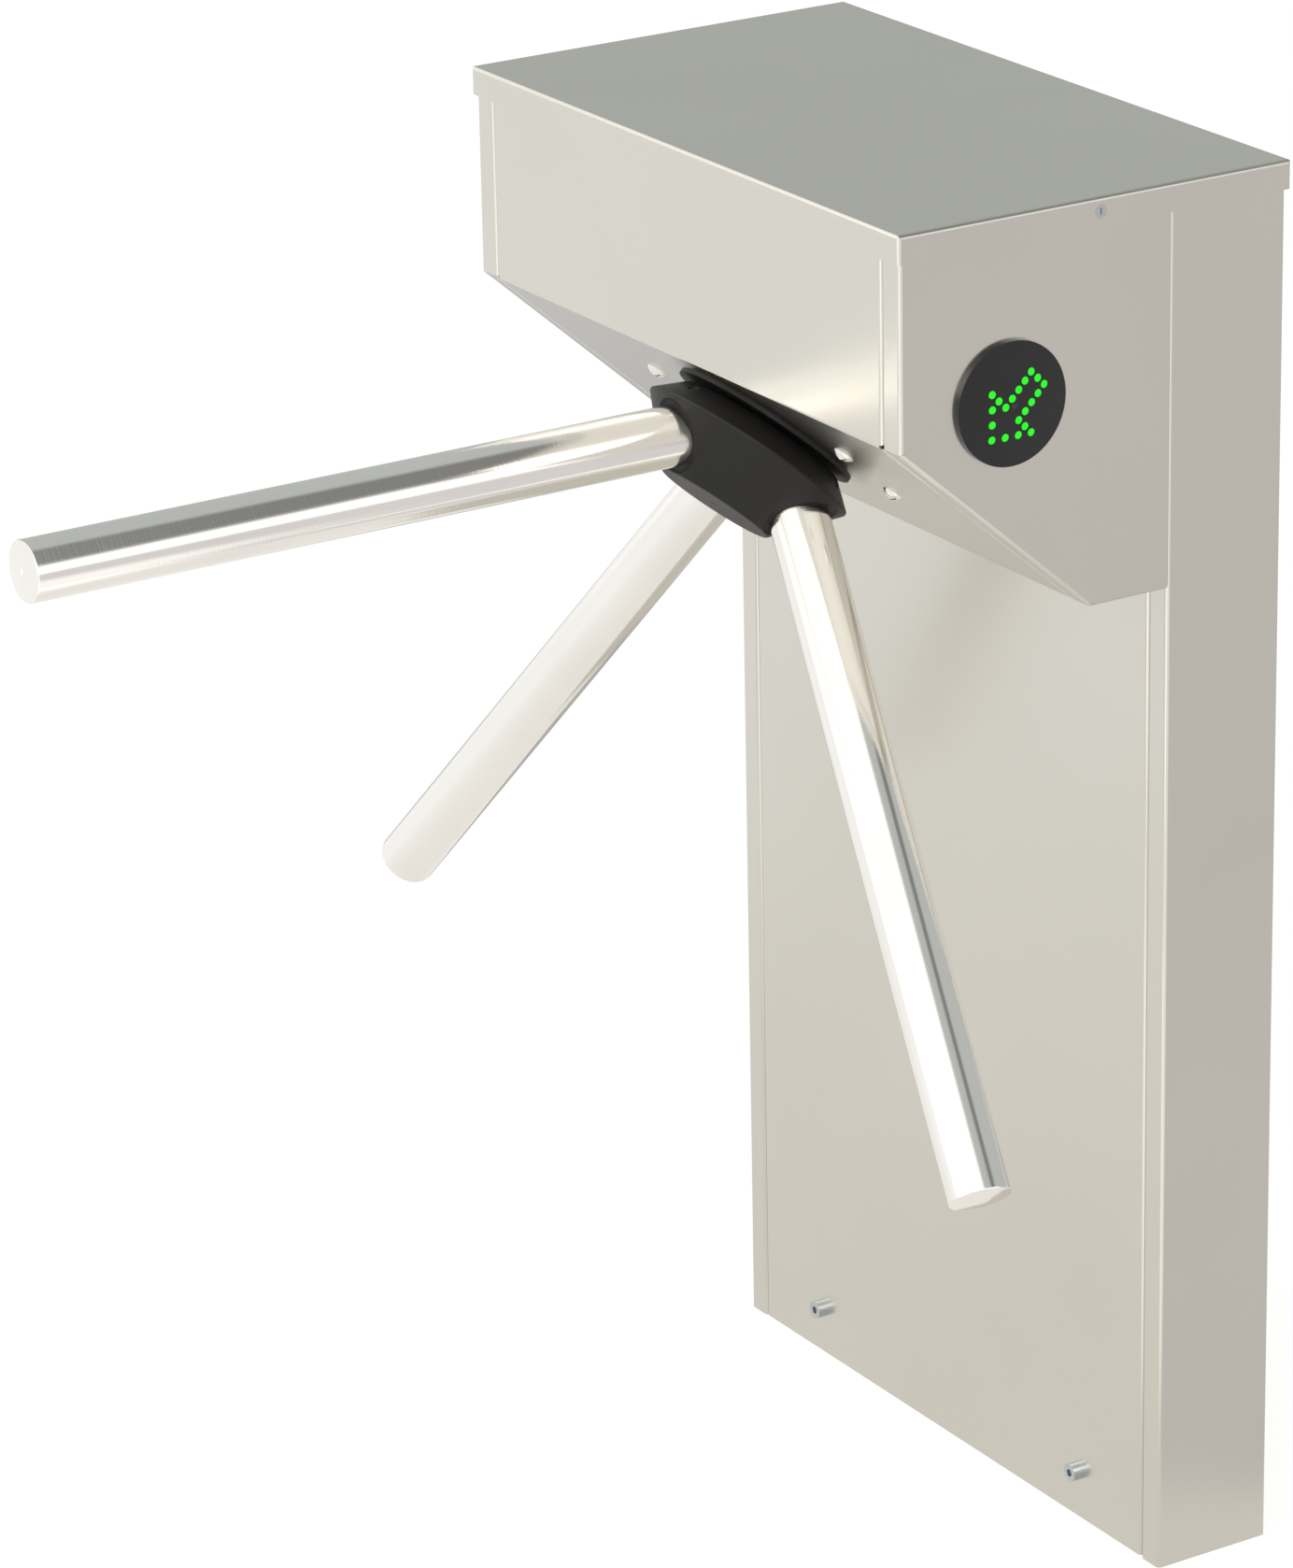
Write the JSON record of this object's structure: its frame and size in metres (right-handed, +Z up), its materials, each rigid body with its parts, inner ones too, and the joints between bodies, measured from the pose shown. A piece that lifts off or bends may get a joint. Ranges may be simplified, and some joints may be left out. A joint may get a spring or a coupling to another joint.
{
  "type": "tripod turnstile",
  "caption": "Waist-high tripod turnstile with a folded stainless-steel head and post, black hub, three polished arms and green direction arrows.",
  "frame": {"origin": "middle of the four anchor holes, on the floor", "axes": "+X along the width to the right as seen from the side where the arms are, -Y where the head reaches out over the passage, +Z up"},
  "size_m": [0.7688, 0.8037, 1],
  "materials": {
    "casing_steel": "satin stainless sheet, fine vertical grain",
    "frame_steel": "plain grey structural paint",
    "zinc_steel": "zinc-plated turned steel",
    "polished_tube": "polished stainless tube with fine ring marks",
    "hub_black": "black moulded nylon, fine texture",
    "lens_black": "glossy smoked acrylic",
    "led_green": "lit green light-emitting diodes",
    "housing_alloy": "machined cast alloy",
    "gear_brass": "machined brass",
    "board_green": "solder-masked circuit board",
    "black_rubber": "black rubber"
  },
  "bodies": {
    "casing": {"post_shell": "casing_steel", "front_cover": "casing_steel", "front_cover_screws": "zinc_steel", "cover_brackets": "frame_steel", "base_plate": "frame_steel", "cable_grommet": "black_rubber", "uprights": "frame_steel", "left_cheek": "casing_steel", "right_cheek": "casing_steel", "nose_panel": "casing_steel", "mechanism_frame": "frame_steel", "mechanism_deck": "frame_steel", "panel_screws": "zinc_steel", "frame_bolts": "zinc_steel", "bearing_housing": "housing_alloy", "housing_screws": "zinc_steel", "bearing_outer_rings": "zinc_steel", "shield_disc": "hub_black", "pivot_pins": "zinc_steel", "lock_solenoids": "housing_alloy", "centring_spring": "zinc_steel", "spring_bracket": "frame_steel", "damper_body": "hub_black", "sensor_board": "board_green", "control_board": "board_green", "board_standoffs": "gear_brass", "left_indicator_lens": "lens_black", "right_indicator_lens": "lens_black", "indicator_leds": "led_green", "indicator_boards": "board_green", "indicator_rings": "hub_black"},
    "lid": {"lid": "casing_steel"},
    "lid_lock": {"lid_lock": "zinc_steel"},
    "rotor": {"hub": "hub_black", "hub_bolt": "zinc_steel", "hub_cap": "hub_black", "level_arm": "polished_tube", "left_arm": "polished_tube", "right_arm": "polished_tube", "arm_end_caps": "polished_tube", "arm_root_plugs": "zinc_steel", "arm_set_screws": "zinc_steel", "main_shaft": "zinc_steel", "drive_keys": "gear_brass", "shaft_nut": "zinc_steel", "shaft_spacers": "zinc_steel", "bearing_inner_rings": "zinc_steel", "bearing_balls": "polished_tube", "lock_disc": "zinc_steel", "index_cam": "zinc_steel", "main_gear": "gear_brass", "sensor_disc": "hub_black"},
    "left_pawl": {"left_pawl": "zinc_steel"},
    "right_pawl": {"right_pawl": "zinc_steel"},
    "left_plunger": {"left_plunger": "zinc_steel"},
    "right_plunger": {"right_plunger": "zinc_steel"},
    "centring_lever": {"centring_lever": "frame_steel", "roller_pin": "zinc_steel"},
    "centring_roller": {"centring_roller": "zinc_steel"},
    "damper_pinion": {"damper_pinion": "gear_brass"}
  },
  "joints": [
    {"name": "hub_turn", "type": "hinge", "parent": "casing", "child": "rotor", "pos_m": [0, -0.19198, 0.79515], "axis": [0, -0.659, -0.7521], "continuous": true},
    {"name": "damper_pinion_turn", "type": "hinge", "parent": "casing", "child": "damper_pinion", "pos_m": [0, -0.13182, 0.74243], "axis": [0, -0.659, -0.7521], "continuous": true},
    {"name": "left_pawl_swing", "type": "hinge", "parent": "casing", "child": "left_pawl", "pos_m": [-0.052, -0.15814, 0.7655], "axis": [0, 0.659, 0.7521], "range_deg": [0, 6.5], "stiffness_Nm_per_rad": 2},
    {"name": "right_pawl_swing", "type": "hinge", "parent": "casing", "child": "right_pawl", "pos_m": [0.052, -0.15814, 0.7655], "axis": [0, -0.659, -0.7521], "range_deg": [0, 6.5], "stiffness_Nm_per_rad": 2},
    {"name": "left_plunger_slide", "type": "slide", "parent": "casing", "child": "left_plunger", "axis": [1, 0, 0], "range_m": [0, 0.0105]},
    {"name": "right_plunger_slide", "type": "slide", "parent": "casing", "child": "right_plunger", "axis": [-1, 0, 0], "range_m": [0, 0.0105]},
    {"name": "centring_lever_swing", "type": "hinge", "parent": "casing", "child": "centring_lever", "pos_m": [-0.07, -0.24839, 0.84458], "axis": [0, -0.659, -0.7521], "range_deg": [-6.8, 0]},
    {"name": "centring_roller_turn", "type": "hinge", "parent": "centring_lever", "child": "centring_roller", "pos_m": [0, -0.23884, 0.83621], "axis": [0, -0.659, -0.7521], "continuous": true},
    {"name": "lid_lift", "type": "slide", "parent": "casing", "child": "lid", "axis": [0, 0, 1], "range_m": [0, 0.15]},
    {"name": "lid_lock_turn", "type": "hinge", "parent": "lid", "child": "lid_lock", "pos_m": [0.2626, -0.1035, 0.99], "axis": [1, 0, 0], "range_deg": [0, 90]}
  ],
  "couplings": [
    {"joint": "damper_pinion_turn", "follows": "hub_turn", "ratio": -3},
    {"joint": "left_plunger_slide", "follows": "left_pawl_swing", "m_per_rad": 0.09},
    {"joint": "right_plunger_slide", "follows": "right_pawl_swing", "m_per_rad": 0.09}
  ]
}
